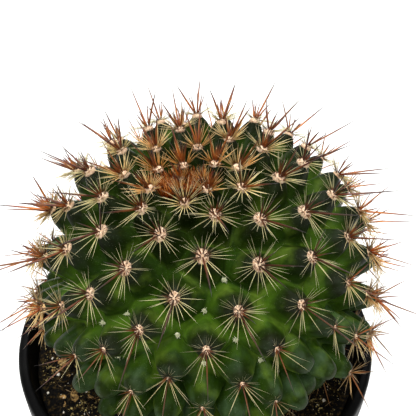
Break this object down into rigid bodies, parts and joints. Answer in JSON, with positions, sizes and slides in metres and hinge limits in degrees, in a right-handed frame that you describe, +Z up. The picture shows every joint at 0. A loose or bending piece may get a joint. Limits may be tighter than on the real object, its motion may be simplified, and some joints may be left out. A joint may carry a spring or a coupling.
{
  "type": "potted mammillaria",
  "caption": "Round spiny cactus with tubercles in a spiral, growing in soil in a round black plastic nursery pot with a turned-over rim.",
  "frame": {"origin": "middle of the pot's flat base, on the surface that the pot stands on", "axes": "+Z up along the pot's axis, -Y towards the front that the picture shows, +X to the right as seen from the front"},
  "size_m": [0.1205, 0.1204, 0.1642],
  "materials": {
    "pot_plastic": "satin",
    "potting_mix": "matte",
    "cactus_skin": "satin"
  },
  "bodies": {
    "root": {"pot": "pot_plastic", "soil": "potting_mix", "plant": "cactus_skin"}
  },
  "joints": []
}
